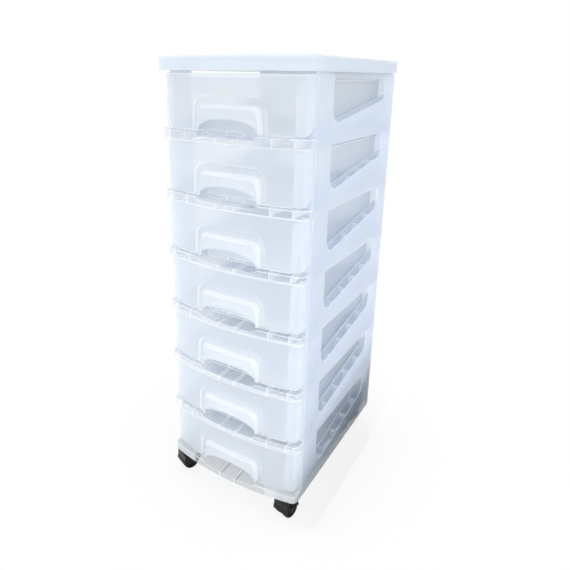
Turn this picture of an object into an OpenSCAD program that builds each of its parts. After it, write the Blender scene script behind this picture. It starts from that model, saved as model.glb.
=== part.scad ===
// Seven-drawer storage tower of clear plastic, on four hooded twin-wheel castors.
// +Z is up, the drawers open towards -Y, and the origin is on the floor under the middle.

/* [Tower] */
// Number of stacked frames, each with its drawer
levels = 7; // [2:1:7]
// Width over the side walls
body_w = 300; // [260:1:360]
// Depth from the front of the corner posts to the back wall
body_d = 370; // [330:1:420]
// Height from one shelf to the next
pitch = 113.5; // [105:0.5:150]
// Radius of the back corners in plan
back_r = 12; // [8:1:20]
// Wall thickness of the frames and the cover
wall_t = 2.2; // [1.8:0.1:3]

/* [Shelf] */
// Height of the shelf's skirt
skirt_h = 16; // [13:0.5:20]
// How far the ledge's corners stand in front of the posts
ledge_reach = 23; // [20:1:30]
// How much further the middle of the ledge bows out
ledge_bow = 18; // [10:1:26]
// Radius of the ledge's front corners in plan
ledge_r = 12; // [8:1:18]
// Thickness of the ribs under the shelf
rib_t = 1.6; // [1.2:0.1:2.4]
// Distance from the middle to the ribs that show through the ledge
ledge_ribs = [18, 88, 127];
// Where the ledge's ribs end, behind the front of the posts
ledge_rib_end = 12; // [6:1:20]
// Distances from the posts' front to the shelf's cross ribs
cross_ribs = [130, 240];
// Distance from the middle to the shelf's long ribs
long_rib = 68; // [50:1:90]

/* [Finger recess] */
// Half width of the recess at its floor
recess_floor_w = 55; // [45:1:60]
// Half width of the recess at the ledge's top
recess_top_w = 65; // [60:1:75]
// Depth of the recess below the ledge's top
recess_depth = 6; // [3:0.5:8]
// Where the recess ends, in front of the posts
recess_end = 4; // [3:0.5:6]

/* [Frame sides] */
// Distance from the post's front to the window
win_front = 60; // [50:1:70]
// Distance from the post's front to the window's back edge
win_back = 306; // [280:1:315]
// Height of the window's sill at its front end, above the skirt's lower edge
sill_front = 32; // [26:1:40]
// Height of the window's sill at its back end
sill_back = 67; // [45:1:75]
// Radius of the window's lower front corner
win_r_front = 25; // [15:1:30]
// Radius of the window's lower back corner
win_r_back = 14; // [8:1:20]
// Distance between the side wall's outside and the drawer guide's outside
guide_gap = 18; // [14:0.5:22]
// Thickness of the drawer guides
guide_t = 2; // [1.6:0.1:2.6]
// Distance between the ribs that tie each guide to its side wall
guide_rib_pitch = 55; // [45:1:70]
// Distance from the posts' front to the first of those ribs
guide_rib_first = 110; // [70:1:120]
// How far those ribs stay below the guide's top edge
guide_rib_drop = 3; // [1:0.5:6]
// Height of the locating rim that plugs into the skirt above
rim_h = 13; // [8:0.5:14]
// Wall thickness of the locating rim
rim_t = 2; // [1.5:0.1:2.5]

/* [Drawer] */
// Running clearance under and beside the drawer
run_clear = 0.3; // [0.2:0.05:0.6]
// Clearance between the tub's rim and each guide
side_clear = 1.5; // [1:0.1:3]
// Distance from the post's front to the tub's back
tub_d = 352; // [320:1:362]
// Height of the tub
tub_h = 88; // [70:1:92]
// Wall thickness of the tub
tub_t = 1.8; // [1.5:0.1:2.4]
// Radius of the tub's back corners
tub_r = 22; // [12:1:30]
// Width of the tub's rim
tub_rim = 3; // [2:0.5:4]

/* [Drawer front] */
// Gap between the front's side and the outside of the frame
front_inset = 2.5; // [1.5:0.5:4]
// How far the front's ends stand in front of the posts
front_reach = 14; // [13:1:18]
// How much further the middle of the front bows out
front_bow = 17; // [10:1:22]
// Radius of the front's upright edges
front_r = 13; // [8:1:13]
// Radius of the front's lower corners
front_low_r = 14; // [8:1:20]
// Radius of the front's upper corners
front_top_r = 5; // [2:1:8]
// Wall thickness of the front
front_t = 2.2; // [1.8:0.1:2.8]
// Gap between the front and the skirts above and below it
front_gap = 1.5; // [1:0.1:3]
// Gap between the front's side returns and the posts
post_gap = 1.5; // [1:0.1:3]
// Depth of the flange along the front's top edge
front_flange = 8; // [5:0.5:10]

/* [Handle] */
// Half width of the arched panel round the handle
arch_w = 73; // [68:1:78]
// Height of the arched panel's top above the skirt's lower edge
arch_top = 78; // [74:1:88]
// Radius of the arched panel's upper corners
arch_r = 22; // [14:1:26]
// Depth of the arched panel's step
arch_step = 3; // [2:0.5:3.5]
// Half width of the grip's front at its top
grip_w = 58; // [54:1:60]
// Height of the grip's front above the skirt's lower edge
grip_top = 57; // [54:1:60]
// How far the grip stands proud of the drawer front
grip_out = 4; // [2:0.5:5]
// How much the grip grows towards the drawer front
grip_bevel = 6; // [3:0.5:7]
// Radius of the grip's upper corners
grip_r = 12; // [8:1:16]
// Half width of the finger opening under the grip
notch_w = 60; // [50:1:60]
// Height of the finger opening's top above the skirt's lower edge
notch_top = 40; // [34:1:42]
// Height at which the finger opening's curve starts, above the shelf
notch_side = 4; // [2:0.5:8]
// Gap between the finger pocket's back and the posts' front
pocket_end = 5; // [4:0.5:8]

/* [Cover] */
// Height of the cover
cover_h = 24; // [20:0.5:30]
// How far the cover stands out past the frame
cover_lip = 3.5; // [3:0.5:6]
// Height of the cover's lower edge above the top frame's shoulder
cover_lift = 3; // [0:0.5:6]
// How far the cover's locating lip reaches down beside the rim
cover_grip = 5; // [2:0.5:6]

/* [Castors] */
// Height from the floor to the lowest skirt
castor_h = 48; // [47:0.5:60]
// Distance from the side wall's outside to a castor's stem
castor_side = 26; // [24:1:34]
// Distance from the posts' front to the front castors' stems
castor_front = 8; // [6:1:30]
// Distance from the back wall to the rear castors' stems
castor_back = 30; // [24:1:50]
// Radius of the wheels
wheel_r = 17.5; // [16:0.5:18.5]
// Width of one wheel
wheel_w = 11; // [9:0.5:13]
// Rounding of the wheels' outer edges
wheel_round = 3.5; // [1:0.5:4]
// Flat land between a wheel's rounding and its dished face
wheel_land = 1; // [0.5:0.1:2]
// Depth of the dish in a wheel's outer face
wheel_dish = 2.8; // [2:0.2:4]
// Radius of a wheel's hub
hub_r = 7; // [6:0.5:8]
// Thickness of the plastic that closes a wheel's bore
hub_cap = 2; // [1.5:0.1:3]
// Distance from the stem's axis back to the axle
trail = 14.5; // [13:0.5:18]
// Gap between the wheels' treads and the hood
hood_gap = 0.8; // [0.6:0.1:1.2]
// Wall thickness of the hood
hood_t = 1.4; // [1.2:0.1:2]
// Height of the hood's lower edges
hood_low = 16; // [12:0.5:18]
// Radius of the hood's crown, front and back
crown_r = 9; // [6:0.5:10]
// Angle of the front left castor, seen from above
rest_left = -22; // [-180:1:180]
// Angle of the front right castor
rest_right = -12; // [-180:1:180]
// Angle of the rear left castor; the rear right one mirrors it
rest_rear = 90; // [-180:1:180]
// Radius of the axle
axle_r = 2.5; // [2:0.1:3]
// Radius of the stem
stem_r = 3.5; // [3:0.1:3.8]
// Length of the stem inside the socket
stem_in = 12; // [8:0.5:13]
// Height of the stem's collar
collar_h = 2; // [1.5:0.1:3]
// Radial clearance of the pins that turn
pin_clear = 0.05; // [0.02:0.01:0.1]

/* [Hidden] */
$fn = 48;
eps = 0.01;
over = 5;
half_w = body_w / 2;
depth_mid = (body_d - ledge_reach - ledge_bow) / 2;
tower_top = castor_h + levels * pitch;
plate_z = skirt_h - wall_t;
recess_z = skirt_h - recess_depth;
rib_low = 1;
ledge_circle = (half_w * half_w + ledge_bow * ledge_bow) / (2 * ledge_bow);
ledge_centre = ledge_circle - ledge_reach - ledge_bow;
front_w = half_w - front_inset;
front_circle = (front_w * front_w + front_bow * front_bow) / (2 * front_bow);
front_centre = front_circle - front_reach - front_bow;
front_low = skirt_h + front_gap;
front_top = pitch - front_gap;
grip_face = -front_reach - front_bow - grip_out / 2;
grip_foot = -front_reach - front_bow + grip_bevel;
grip_lean = 8;
arch_lean = 3;
arch_back = arch_step + front_t;
front_out = front_reach + front_bow + grip_out + over;
ledge_out = ledge_reach + ledge_bow + over;
arch_foot = skirt_h - 6;
drawer_z = skirt_h + run_clear;
guide_in = half_w - guide_gap - guide_t;
tub_w = guide_in - side_clear - tub_rim;
sill_slope = atan((sill_back - sill_front) / (win_back - win_front));
rim_inset = wall_t + run_clear;
cover_ring = 0.6;
notch_z = skirt_h + notch_side;
wheel_gap = 0.4;
web_w = 10;
web_r = 13;
boss_r = 9;
hood_r = wheel_r + hood_gap + hood_t;
hood_w = web_w + 2 * (wheel_gap + wheel_w) + 1;
hood_cap_z = castor_h - collar_h - run_clear;
crown_y = hood_r - 2;
crown_turn = 20;
crown_in = 0.5;
collar_r = 8;
stem_low = wheel_r + 5;
castor_x = half_w - castor_side;
corners = [["front_left", -1, castor_front, rest_left],
           ["front_right", 1, castor_front, rest_right],
           ["rear_left", -1, body_d - castor_back, rest_rear],
           ["rear_right", 1, body_d - castor_back, -rest_rear]];
castor_parts = ["stem", "hood", "axle", "wheel_1", "wheel_2"];
clear_white = [0.86, 0.91, 0.95, 0.55];
drawer_white = [0.92, 0.95, 0.98, 0.55];

// Points along an arc from angle a0 to angle a1.
function arc(x, y, r, a0, a1, n = 6) =
    [for (i = [0:n]) let(a = a0 + (a1 - a0) * i / n) [x + r * cos(a), y + r * sin(a)]];

// A plan with a bowed front on a large circle, drawn d inside its edge.
function bow_plan(w, circle, centre, back, rf, rb, d) =
    let(r = circle - d,
        cr = max(rf - d, 0.5),
        br = max(rb - d, 0.5),
        hw = w - d,
        yb = back - d,
        cx = hw - cr,
        cy = centre - sqrt((r - cr) * (r - cr) - cx * cx),
        turn = atan2(cx, centre - cy))
    concat(arc(0, centre, r, 270 - turn, 270 + turn, 20),
        arc(cx, cy, cr, 270 + turn, 360),
        arc(hw - br, yb - br, br, 0, 90),
        arc(br - hw, yb - br, br, 90, 180),
        arc(-cx, cy, cr, 180, 270 - turn));

function ledge_plan(d) = bow_plan(half_w, ledge_circle, ledge_centre, body_d, ledge_r, back_r, d);
function front_plan(d, back) = bow_plan(front_w, front_circle, front_centre, back, front_r, 0, d);
function tub_plan(w, back, d) = bow_plan(w, front_circle, front_centre, back, 3, tub_r, d);

// The frame's outline, open at the front, drawn d inside its edge.
function wall_plan(d, front) =
    let(r = max(back_r - d, 0.5), w = half_w - d, b = body_d - d)
    concat([[w, front]], arc(w - r, b - r, r, 0, 90), arc(r - w, b - r, r, 90, 180), [[-w, front]]);

// Height of the window's sill at depth y.
function sill(y) = sill_front + (y - win_front) * tan(sill_slope);

// A side window in the YZ plane, open at its top.
function window_outline() =
    let(c = cos(sill_slope), y1 = win_front + win_r_front, y2 = win_back - win_r_back)
    concat([[win_front, pitch + skirt_h]],
        arc(y1, sill(y1) + win_r_front / c, win_r_front, 180, 270 + sill_slope),
        arc(y2, sill(y2) + win_r_back / c, win_r_back, 270 + sill_slope, 360),
        [[win_back, pitch + skirt_h]]);

// A panel in the XZ plane with its own lower and upper corner radii, drawn d inside its edge.
function panel_outline(w, z0, z1, low, top, d) =
    let(hw = w - d, a = z0 + d, b = z1 - d, rl = max(low - d, 0.5), rt = max(top - d, 0.5))
    concat(arc(hw - rl, a + rl, rl, 270, 360), arc(hw - rt, b - rt, rt, 0, 90),
        arc(rt - hw, b - rt, rt, 90, 180), arc(rl - hw, a + rl, rl, 180, 270));

// An upright arch in the XZ plane, with its feet below the shelf, drawn d inside its edge.
function arch_outline(w, top, r, lean, d) =
    let(hw = w - d, b = top - d, cr = max(r - d, 0.5))
    concat([[hw + lean, arch_foot]], arc(hw - cr, b - cr, cr, 0, 90),
        arc(cr - hw, b - cr, cr, 90, 180), [[-hw - lean, arch_foot]]);

// A slab whose outline lies in the XZ plane, from y0 to y1.
module upright(y0, y1, outline) {
    translate([0, y1, 0])
        rotate([90, 0, 0])
            linear_extrude(y1 - y0)
                polygon(outline);
}

// A slab whose outline lies in the YZ plane, from x0 to x1.
module sideways(x0, x1, outline) {
    translate([x0, 0, 0])
        rotate([90, 0, 90])
            linear_extrude(x1 - x0)
                polygon(outline);
}

// An upright wall between two plan outlines.
module plan_ring(z0, z1, outer, inner) {
    translate([0, 0, z0])
        linear_extrude(z1 - z0)
            difference() {
                polygon(outer);
                polygon(inner);
            }
}

// The finger recess's section in the XZ plane, drawn d outside its faces.
function recess_outline(d) =
    [[-recess_floor_w - d, recess_z - d], [recess_floor_w + d, recess_z - d],
     [recess_top_w + d, skirt_h], [recess_top_w + d, skirt_h + 1],
     [-recess_top_w - d, skirt_h + 1], [-recess_top_w - d, skirt_h]];

module recess_tray() {
    intersection() {
        linear_extrude(skirt_h)
            polygon(ledge_plan(0));
        difference() {
            upright(-ledge_out, -recess_end, recess_outline(wall_t));
            upright(-ledge_out - 1, -recess_end - wall_t, recess_outline(0));
        }
    }
}

module shelf_ribs() {
    intersection() {
        linear_extrude(plate_z + eps)
            polygon(ledge_plan(wall_t / 2));
        for (side = [-1, 1], x = ledge_ribs)
            translate([side * x - rib_t / 2, -ledge_reach - ledge_bow, rib_low])
                cube([rib_t, ledge_reach + ledge_bow + ledge_rib_end,
                      (x < recess_top_w ? recess_z - wall_t : plate_z) - rib_low + eps]);
    }
    intersection() {
        linear_extrude(plate_z + eps)
            polygon(wall_plan(rim_inset + rim_t + run_clear, ledge_rib_end));
        union() {
            for (y = concat([ledge_rib_end], cross_ribs))
                translate([-half_w, y, rib_low])
                    cube([body_w, rib_t, plate_z - rib_low + eps]);
            for (side = [-1, 1])
                translate([side * long_rib - rib_t / 2, ledge_rib_end, rib_low])
                    cube([rib_t, body_d - ledge_rib_end, plate_z - rib_low + eps]);
        }
    }
}

module shelf() {
    difference() {
        linear_extrude(skirt_h)
            polygon(ledge_plan(0));
        translate([0, 0, -1])
            linear_extrude(plate_z + 1)
                polygon(ledge_plan(wall_t));
        upright(-ledge_out, -recess_end - wall_t, recess_outline(0));
    }
    recess_tray();
    shelf_ribs();
}

module outer_walls() {
    difference() {
        union() {
            plan_ring(skirt_h - eps, pitch, wall_plan(0, 0), wall_plan(wall_t, -1));
            plan_ring(pitch - wall_t, pitch, wall_plan(0, 0), wall_plan(rim_inset + rim_t, -1));
            plan_ring(pitch - eps, pitch + rim_h, wall_plan(rim_inset, 0),
                wall_plan(rim_inset + rim_t, -1));
        }
        sideways(-half_w - 1, half_w + 1, window_outline());
    }
}

// One drawer guide with its front flange and the ribs that tie it to the side wall.
module guide() {
    low = skirt_h - eps;
    sideways(guide_in, guide_in + guide_t,
        [[0, low], [body_d - wall_t / 2, low], [body_d - wall_t / 2, sill(body_d)],
         [win_front, sill_front], [0, sill_front]]);
    for (y = [guide_rib_first : guide_rib_pitch : win_back])
        translate([guide_in + guide_t / 2, y, low])
            cube([guide_gap + guide_t / 2 - wall_t / 2, rib_t, sill(y) - guide_rib_drop - low]);
    translate([guide_in, 0, low])
        cube([guide_gap + guide_t - wall_t / 2, wall_t, pitch - wall_t / 2 - low]);
}

module sockets() {
    for (c = corners)
        translate([c[1] * castor_x, c[2], 0])
            cylinder(r = boss_r, h = plate_z + eps);
}

module socket_bores() {
    for (c = corners)
        translate([c[1] * castor_x, c[2], -1])
            cylinder(r = stem_r + pin_clear, h = stem_in + run_clear + 1);
}

module frame(i) {
    color(clear_white)
        translate([0, -depth_mid, castor_h + (i - 1) * pitch])
            difference() {
                union() {
                    shelf();
                    outer_walls();
                    guide();
                    mirror([1, 0, 0])
                        guide();
                    if (i == 1)
                        sockets();
                }
                if (i == 1)
                    socket_bores();
            }
}

module tub() {
    difference() {
        translate([0, 0, drawer_z])
            linear_extrude(tub_h)
                polygon(tub_plan(tub_w, tub_d, 0));
        translate([0, 0, drawer_z + tub_t])
            linear_extrude(tub_h)
                polygon(tub_plan(tub_w, tub_d, tub_t));
    }
    plan_ring(drawer_z + tub_h - tub_t, drawer_z + tub_h,
        tub_plan(tub_w + tub_rim, tub_d + tub_rim, 0), tub_plan(tub_w, tub_d, tub_t));
}

// The drawer front, drawn d inside its outer faces and reaching back to y.
module front_block(d, y, top) {
    intersection() {
        linear_extrude(pitch)
            polygon(front_plan(d, y + d));
        upright(-front_out, y, panel_outline(front_w, front_low, top, front_low_r, front_top_r, d));
    }
}

module front_shell() {
    difference() {
        front_block(0, -post_gap, front_top);
        front_block(front_t, 1, pitch + over);
        translate([0, 0, drawer_z + tub_t])
            linear_extrude(pitch)
                polygon(tub_plan(tub_w, tub_d, front_t));
    }
    intersection() {
        plan_ring(front_top - front_t, front_top, front_plan(0, -post_gap),
            front_plan(front_flange, over + front_flange));
        front_block(0, -post_gap, front_top);
    }
}

// What the arched panel takes out of the front, and the stepped wall that closes it.
module arch_cut() {
    intersection() {
        upright(-front_out, 0, arch_outline(arch_w, arch_top, arch_r, arch_lean, 0));
        plan_ring(0, pitch, front_plan(-1, 0), front_plan(arch_step, over + arch_step));
    }
}

module arch_wall() {
    intersection() {
        upright(-front_out, 0, arch_outline(arch_w, arch_top, arch_r, arch_lean, -front_t));
        plan_ring(front_low, pitch, front_plan(arch_step, 0),
            front_plan(arch_back, over + arch_back));
    }
    intersection() {
        difference() {
            upright(-front_out, 0, arch_outline(arch_w, arch_top, arch_r, arch_lean, -front_t));
            upright(-front_out - 1, 1, arch_outline(arch_w, arch_top, arch_r, arch_lean, 0));
        }
        plan_ring(front_low, pitch, front_plan(0, 0), front_plan(arch_back, over + arch_back));
    }
}

// The hollow grip and the finger pocket behind it, drawn d inside their faces.
module grip_block(d) {
    back = -pocket_end - d;
    intersection() {
        linear_extrude(pitch)
            polygon(front_plan(d - grip_out, 0));
        union() {
            hull() {
                upright(-front_out, grip_face, arch_outline(grip_w, grip_top, grip_r, grip_lean, d));
                upright(grip_foot, grip_foot + 1,
                    arch_outline(grip_w + grip_bevel, grip_top + grip_bevel, grip_r, arch_lean, d));
            }
            upright(grip_foot, back,
                arch_outline(grip_w + grip_bevel, grip_top + grip_bevel, grip_r, arch_lean, d));
        }
    }
}

// The arched opening for the fingers, under the grip.
function notch_outline() =
    concat([[notch_w, skirt_h - over]],
        [for (i = [0:24]) [notch_w * cos(i * 7.5), notch_z + (notch_top - notch_z) * sin(i * 7.5)]],
        [[-notch_w, skirt_h - over]]);

module drawer(i) {
    color(drawer_white)
        translate([0, -depth_mid, castor_h + (i - 1) * pitch])
            difference() {
                union() {
                    difference() {
                        union() {
                            tub();
                            front_shell();
                        }
                        arch_cut();
                    }
                    arch_wall();
                    intersection() {
                        grip_block(0);
                        translate([-half_w, -half_w, front_low])
                            cube([body_w, body_w, pitch]);
                    }
                }
                grip_block(front_t);
                upright(-front_out, grip_foot, notch_outline());
            }
}

module top_cover() {
    color(clear_white)
        translate([0, -depth_mid, tower_top]) {
            translate([0, 0, cover_lift])
                difference() {
                    linear_extrude(cover_h)
                        polygon(ledge_plan(-cover_lip));
                    translate([0, 0, -1])
                        linear_extrude(cover_h - wall_t + 1)
                            polygon(ledge_plan(wall_t - cover_lip));
                }
            plan_ring(rim_h, cover_lift + cover_h - wall_t / 2, wall_plan(cover_ring, 0),
                wall_plan(rim_inset + rim_t + 1, -1));
            plan_ring(rim_h - cover_grip, rim_h + eps, wall_plan(cover_ring, 0),
                wall_plan(rim_inset - run_clear, -1));
        }
}

// Places a castor's pieces about the axis of its stem and turns the castor to its rest.
module at_castor(c) {
    translate([c[1] * castor_x, c[2] - depth_mid, 0])
        rotate([0, 0, c[3]])
            children();
}

// A round bar along X through the axle's line.
module across(r, w, x = 0) {
    translate([x - w / 2, -trail, wheel_r])
        rotate([0, 90, 0])
            cylinder(r = r, h = w);
}

module stem(c) {
    color("silver")
        at_castor(c) {
            translate([0, 0, stem_low])
                cylinder(r = stem_r, h = castor_h + stem_in - stem_low);
            translate([0, 0, castor_h - collar_h])
                cylinder(r = collar_r, h = collar_h);
        }
}

// The hood's crown in the YZ plane, over the wheels and the stem, drawn d inside its edge.
function crown_outline(d) =
    let(y0 = -trail - crown_y + d, y1 = boss_r - d, z1 = hood_cap_z - d, r = crown_r - d)
    concat([[y0, wheel_r], [y1, wheel_r]], arc(y1 - r, z1 - r, r, 0, 90), arc(y0 + r, z1 - r, r, 90, 180));

// The crown's plan, which narrows behind the axle to the boss round the stem.
function crown_plan(d) =
    let(w = hood_w / 2 - crown_in - d, y0 = -trail - hood_r)
    concat([[-w, y0], [w, y0], [w, -trail]], arc(0, 0, boss_r - d, crown_turn, 180 - crown_turn),
        [[-w, -trail]]);

// The hood's body, drawn d inside its faces; cut is how far its round part runs past the sides.
module hood_body(d, cut) {
    across(hood_r - d, hood_w + cut);
    intersection() {
        sideways(-hood_w, hood_w, crown_outline(d));
        linear_extrude(castor_h)
            polygon(crown_plan(d));
    }
}

module hood(c) {
    color("black")
        at_castor(c)
            difference() {
                union() {
                    difference() {
                        hood_body(0, 0);
                        hood_body(hood_t, 2);
                        translate([-hood_w, -trail - 2 * hood_r, -hood_r])
                            cube([2 * hood_w, 4 * hood_r, hood_r + hood_low]);
                    }
                    across(web_r, web_w);
                    translate([-web_w / 2, -trail, wheel_r])
                        cube([web_w, trail + web_w / 2, hood_cap_z - wheel_r - hood_t / 2]);
                }
                across(axle_r + pin_clear / 2, hood_w);
                translate([0, 0, stem_low - run_clear])
                    cylinder(r = stem_r + pin_clear, h = castor_h);
            }
}

module axle(c) {
    color("silver")
        at_castor(c)
            across(axle_r, web_w + 2 * (wheel_gap + wheel_w - hub_cap - run_clear));
}

// A wheel turned about its own axis, with its outer face towards +Z.
module wheel_body() {
    rim_r = wheel_r - wheel_round - wheel_land;
    difference() {
        rotate_extrude()
            polygon(concat(
                [[0, 0], [wheel_r - 1, 0], [wheel_r, 1]],
                arc(wheel_r - wheel_round, wheel_w - wheel_round, wheel_round, 0, 90),
                [[rim_r, wheel_w], [rim_r - 1, wheel_w - wheel_dish], [hub_r + 1, wheel_w - wheel_dish],
                 [hub_r, wheel_w - 0.5], [0, wheel_w - 0.5]]));
        translate([0, 0, -1])
            cylinder(r = axle_r + pin_clear, h = wheel_w - hub_cap + 1);
    }
}

module wheel(c, side) {
    color("black")
        at_castor(c)
            translate([side * (web_w / 2 + wheel_gap), -trail, wheel_r])
                rotate([0, side * 90, 0])
                    wheel_body();
}

top_cover();
for (i = [1:levels]) {
    frame(i);
    drawer(i);
}
for (c = corners) {
    stem(c);
    hood(c);
    axle(c);
    wheel(c, -1);
    wheel(c, 1);
}
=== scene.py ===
# %% [markdown]
# A seven-drawer storage tower of clear plastic on castors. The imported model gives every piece
# its place and size; this file gives the pieces soft moulded edges, finishes and light.

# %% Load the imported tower
from math import atan2, cos, pi, radians, sin, sqrt

import bmesh
import bpy
from mathutils import Matrix, Vector


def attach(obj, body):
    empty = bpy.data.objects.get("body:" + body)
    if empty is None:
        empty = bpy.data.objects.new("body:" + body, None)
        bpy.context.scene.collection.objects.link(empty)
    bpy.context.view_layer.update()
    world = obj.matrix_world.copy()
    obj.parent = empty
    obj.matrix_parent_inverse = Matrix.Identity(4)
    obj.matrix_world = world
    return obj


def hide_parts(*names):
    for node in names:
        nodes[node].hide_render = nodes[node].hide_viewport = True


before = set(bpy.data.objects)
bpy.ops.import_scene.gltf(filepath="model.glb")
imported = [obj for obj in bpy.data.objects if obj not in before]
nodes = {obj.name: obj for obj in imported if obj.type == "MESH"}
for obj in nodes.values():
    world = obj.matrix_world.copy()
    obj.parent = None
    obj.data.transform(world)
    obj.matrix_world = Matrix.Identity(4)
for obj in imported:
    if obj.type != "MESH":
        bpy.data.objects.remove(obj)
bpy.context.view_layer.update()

# %% [markdown]
# The camera stands off the front right corner, nearly as high as the cover. Its lens, place and
# turn come from lines that are level, upright or square on the real tower. The view is shifted
# instead of tilted further, so upright edges stay as close to upright as they should.
# A line of sight meets two faces of every clear wall it passes, so rays may pass many of them.

# %% Camera
LENS, SENSOR, SHIFT = 32.38, 36, (0.0386, -0.0891)
EYE = Vector((0.505, -0.8962, 0.8386))
TURN, TILT, ROLL = radians(31.61), radians(90 - 17.22), radians(0.75)
CLEAR_FACES = 48
camera = bpy.data.objects.new("camera", bpy.data.cameras.new("camera"))
bpy.context.collection.objects.link(camera)
camera.data.sensor_width = SENSOR
camera.data.lens = LENS
camera.data.shift_x, camera.data.shift_y = SHIFT
camera.data.clip_start = 0.01
camera.matrix_world = (Matrix.Translation(EYE) @ Matrix.Rotation(TURN, 4, "Z")
                       @ Matrix.Rotation(TILT, 4, "X") @ Matrix.Rotation(ROLL, 4, "Z"))
bpy.context.scene.camera = camera
bpy.context.scene.cycles.transparent_max_bounces = CLEAR_FACES
print("camera at", tuple(camera.location), "lens", LENS)

# %% [markdown]
# The room, the floor and the clear plastic each blend one shader into another, and the share
# of the blend is often worked out from two values. Nodes can be added one by one each time,
# but two helpers keep the later cells short.


# %% Blending helpers
def combined(n, l, operation, one, other):
    """One value made of two, such as the larger of them or their product."""
    node = n.new("ShaderNodeMath")
    node.operation = operation
    l.new(one, node.inputs[0])
    l.new(other, node.inputs[1])
    return node.outputs[0]


def blended(n, l, share, first, second):
    """All of the first shader where share is 0 and all of the second where it is 1."""
    node = n.new("ShaderNodeMixShader")
    if isinstance(share, float):
        node.inputs["Fac"].default_value = share
    else:
        l.new(share, node.inputs["Fac"])
    l.new(first, node.inputs[1])
    l.new(second, node.inputs[2])
    return node.outputs[0]


print("blending helpers ready")

# %% [markdown]
# A white room. What the lens, glossy faces and clear walls see behind the tower is full white,
# while the light that the room sheds on the tower is a little softer and bluer. A painted
# backdrop would do the same from one side, but this works from all sides.

# %% White room
world = bpy.data.worlds.new("white room")
bpy.context.scene.world = world
bpy.context.scene.view_settings.view_transform = "Standard"
world.use_nodes = True
wn, wl = world.node_tree.nodes, world.node_tree.links
wn.clear()


def background(colour, strength):
    light = wn.new("ShaderNodeBackground")
    light.inputs["Color"].default_value = (*colour, 1)
    light.inputs["Strength"].default_value = strength
    return light.outputs[0]


rays = wn.new("ShaderNodeLightPath").outputs
sees_white = rays["Is Camera Ray"]
for kind in ("Is Glossy Ray", "Is Transmission Ray"):
    sees_white = combined(wn, wl, "MAXIMUM", sees_white, rays[kind])
soft_light = background((0.945, 0.97, 1.0), 0.97)
room = blended(wn, wl, sees_white, soft_light, background((1, 1, 1), 1))
wl.new(room, wn.new("ShaderNodeOutputWorld").inputs["Surface"])
print("white room ready")

# %% [markdown]
# Four large lamps shape the tower: one at the front left, a weak one at the right, one above,
# and a narrow one that lifts the lowest drawers. The front ones stand far off, so that a drawer
# that is pulled out towards them hardly gets brighter than a closed one. The narrow one would
# be a bright spot in the glossy fronts, so it stays out of reflections.


# %% Lamps
def soft_lamp(name, place, aim, size, watts, spread=180):
    """A square lamp; a spread under 180 degrees gathers its light into a beam."""
    lamp = bpy.data.objects.new(name, bpy.data.lights.new(name, "AREA"))
    bpy.context.collection.objects.link(lamp)
    lamp.data.shape = "SQUARE"
    lamp.data.size = size
    lamp.data.energy = watts
    lamp.data.spread = radians(spread)
    lamp.location = place
    lamp.rotation_euler = (Vector(aim) - Vector(place)).to_track_quat("-Z", "Y").to_euler()
    return lamp


soft_lamp("front left softbox", (-2.4, -4.4, 1.5), aim=(0, 0, 0.3), size=3.2, watts=17.2)
low_lamp = soft_lamp("low front softbox", (0.5, -4.1, 0.4), aim=(0, -0.1, 0.16), size=1.4,
                     watts=2.2, spread=18)
low_lamp.visible_glossy = False
low_lamp.data.color = (1.0, 0.98, 0.95)
soft_lamp("right softbox", (2.2, 0.1, 1.0), aim=(0, 0, 0.5), size=1.4, watts=5.2)
soft_lamp("top softbox", (0.3, 0.1, 2.6), aim=(0, 0, 0.4), size=1.8, watts=13)

# %% [markdown]
# Every finish on the tower is a Principled shader with a little noise in its roughness, and
# mostly in its surface too. The noise is placed by the piece's own coordinates, so that it stays
# on a drawer that slides. A few helpers add these nodes.


# %% Finish helpers
def finish(name):
    mat = bpy.data.materials.new(name)
    mat.use_nodes = True
    n, l = mat.node_tree.nodes, mat.node_tree.links
    shader = n["Principled BSDF"]
    place = n.new("ShaderNodeTexCoord").outputs["Object"]
    return mat, n, l, shader, place


def noise(n, l, place, scale, detail=3):
    tex = n.new("ShaderNodeTexNoise")
    tex.inputs["Scale"].default_value = scale
    tex.inputs["Detail"].default_value = detail
    l.new(place, tex.inputs["Vector"])
    return tex.outputs["Fac"]


def spread(n, l, value, low, high):
    """A value from 0 to 1 spread over another range."""
    span = n.new("ShaderNodeMapRange")
    span.inputs["To Min"].default_value = low
    span.inputs["To Max"].default_value = high
    l.new(value, span.inputs["Value"])
    return span.outputs["Result"]


def bump(n, l, value, depth):
    b = n.new("ShaderNodeBump")
    b.inputs["Strength"].default_value = 0.3
    b.inputs["Distance"].default_value = depth
    l.new(value, b.inputs["Height"])
    return b.outputs["Normal"]


print("finish helpers ready")

# %% [markdown]
# Clear plastic is a thin frosted wall: part of the light goes straight through, part is
# scattered on to the far side, and the rest comes back from a glossy surface. Small ripples,
# and clouds where the plastic is a little milkier, keep the sheets from looking like plain
# glass. True refraction is the other way to make it, but so many thin walls behind each other
# would need far more samples.

# %% Clear plastic
PLASTIC_IOR, COAT, COAT_ROUGH = 1.49, 0.25, 0.08
CLOUDS, CLOUD_SHARE, FROST, RIPPLE_DEPTH = 9, 0.03, 60, 0.0006


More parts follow.
